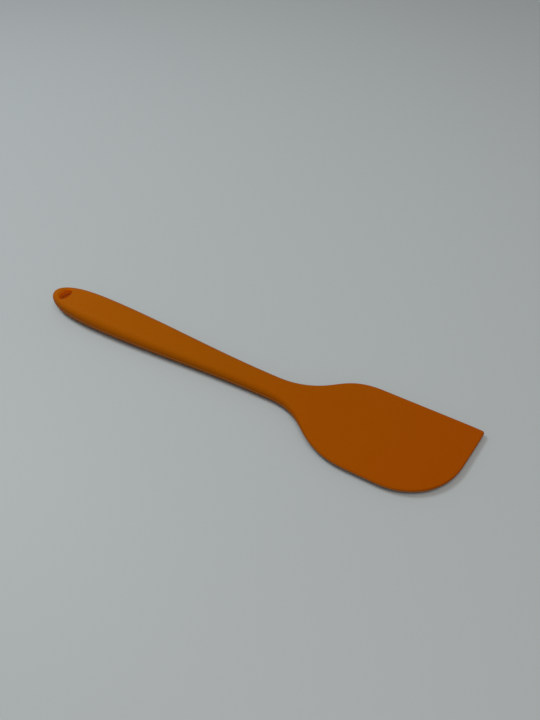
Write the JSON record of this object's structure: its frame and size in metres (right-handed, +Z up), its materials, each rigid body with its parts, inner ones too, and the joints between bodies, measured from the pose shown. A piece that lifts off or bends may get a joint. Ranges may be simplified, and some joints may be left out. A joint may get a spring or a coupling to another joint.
{
  "type": "silicone spatula",
  "caption": "One-piece orange silicone spatula with an oval handle, a hanging hole, and a flat flexible blade with one square and one rounded corner, over a sealed steel core.",
  "frame": {"origin": "on the table that the spatula lies on, below the middle of its length and of its blade's width", "axes": "+X along the handle towards the blade, +Y towards the side with the blade's square corner, +Z up, out of the blade's upper face"},
  "size_m": [0.28, 0.0578, 0.0116],
  "materials": {
    "silicone": "matte",
    "steel": "satin"
  },
  "bodies": {
    "root": {"silicone_body": "silicone", "stiffening_core": "steel"}
  },
  "joints": []
}
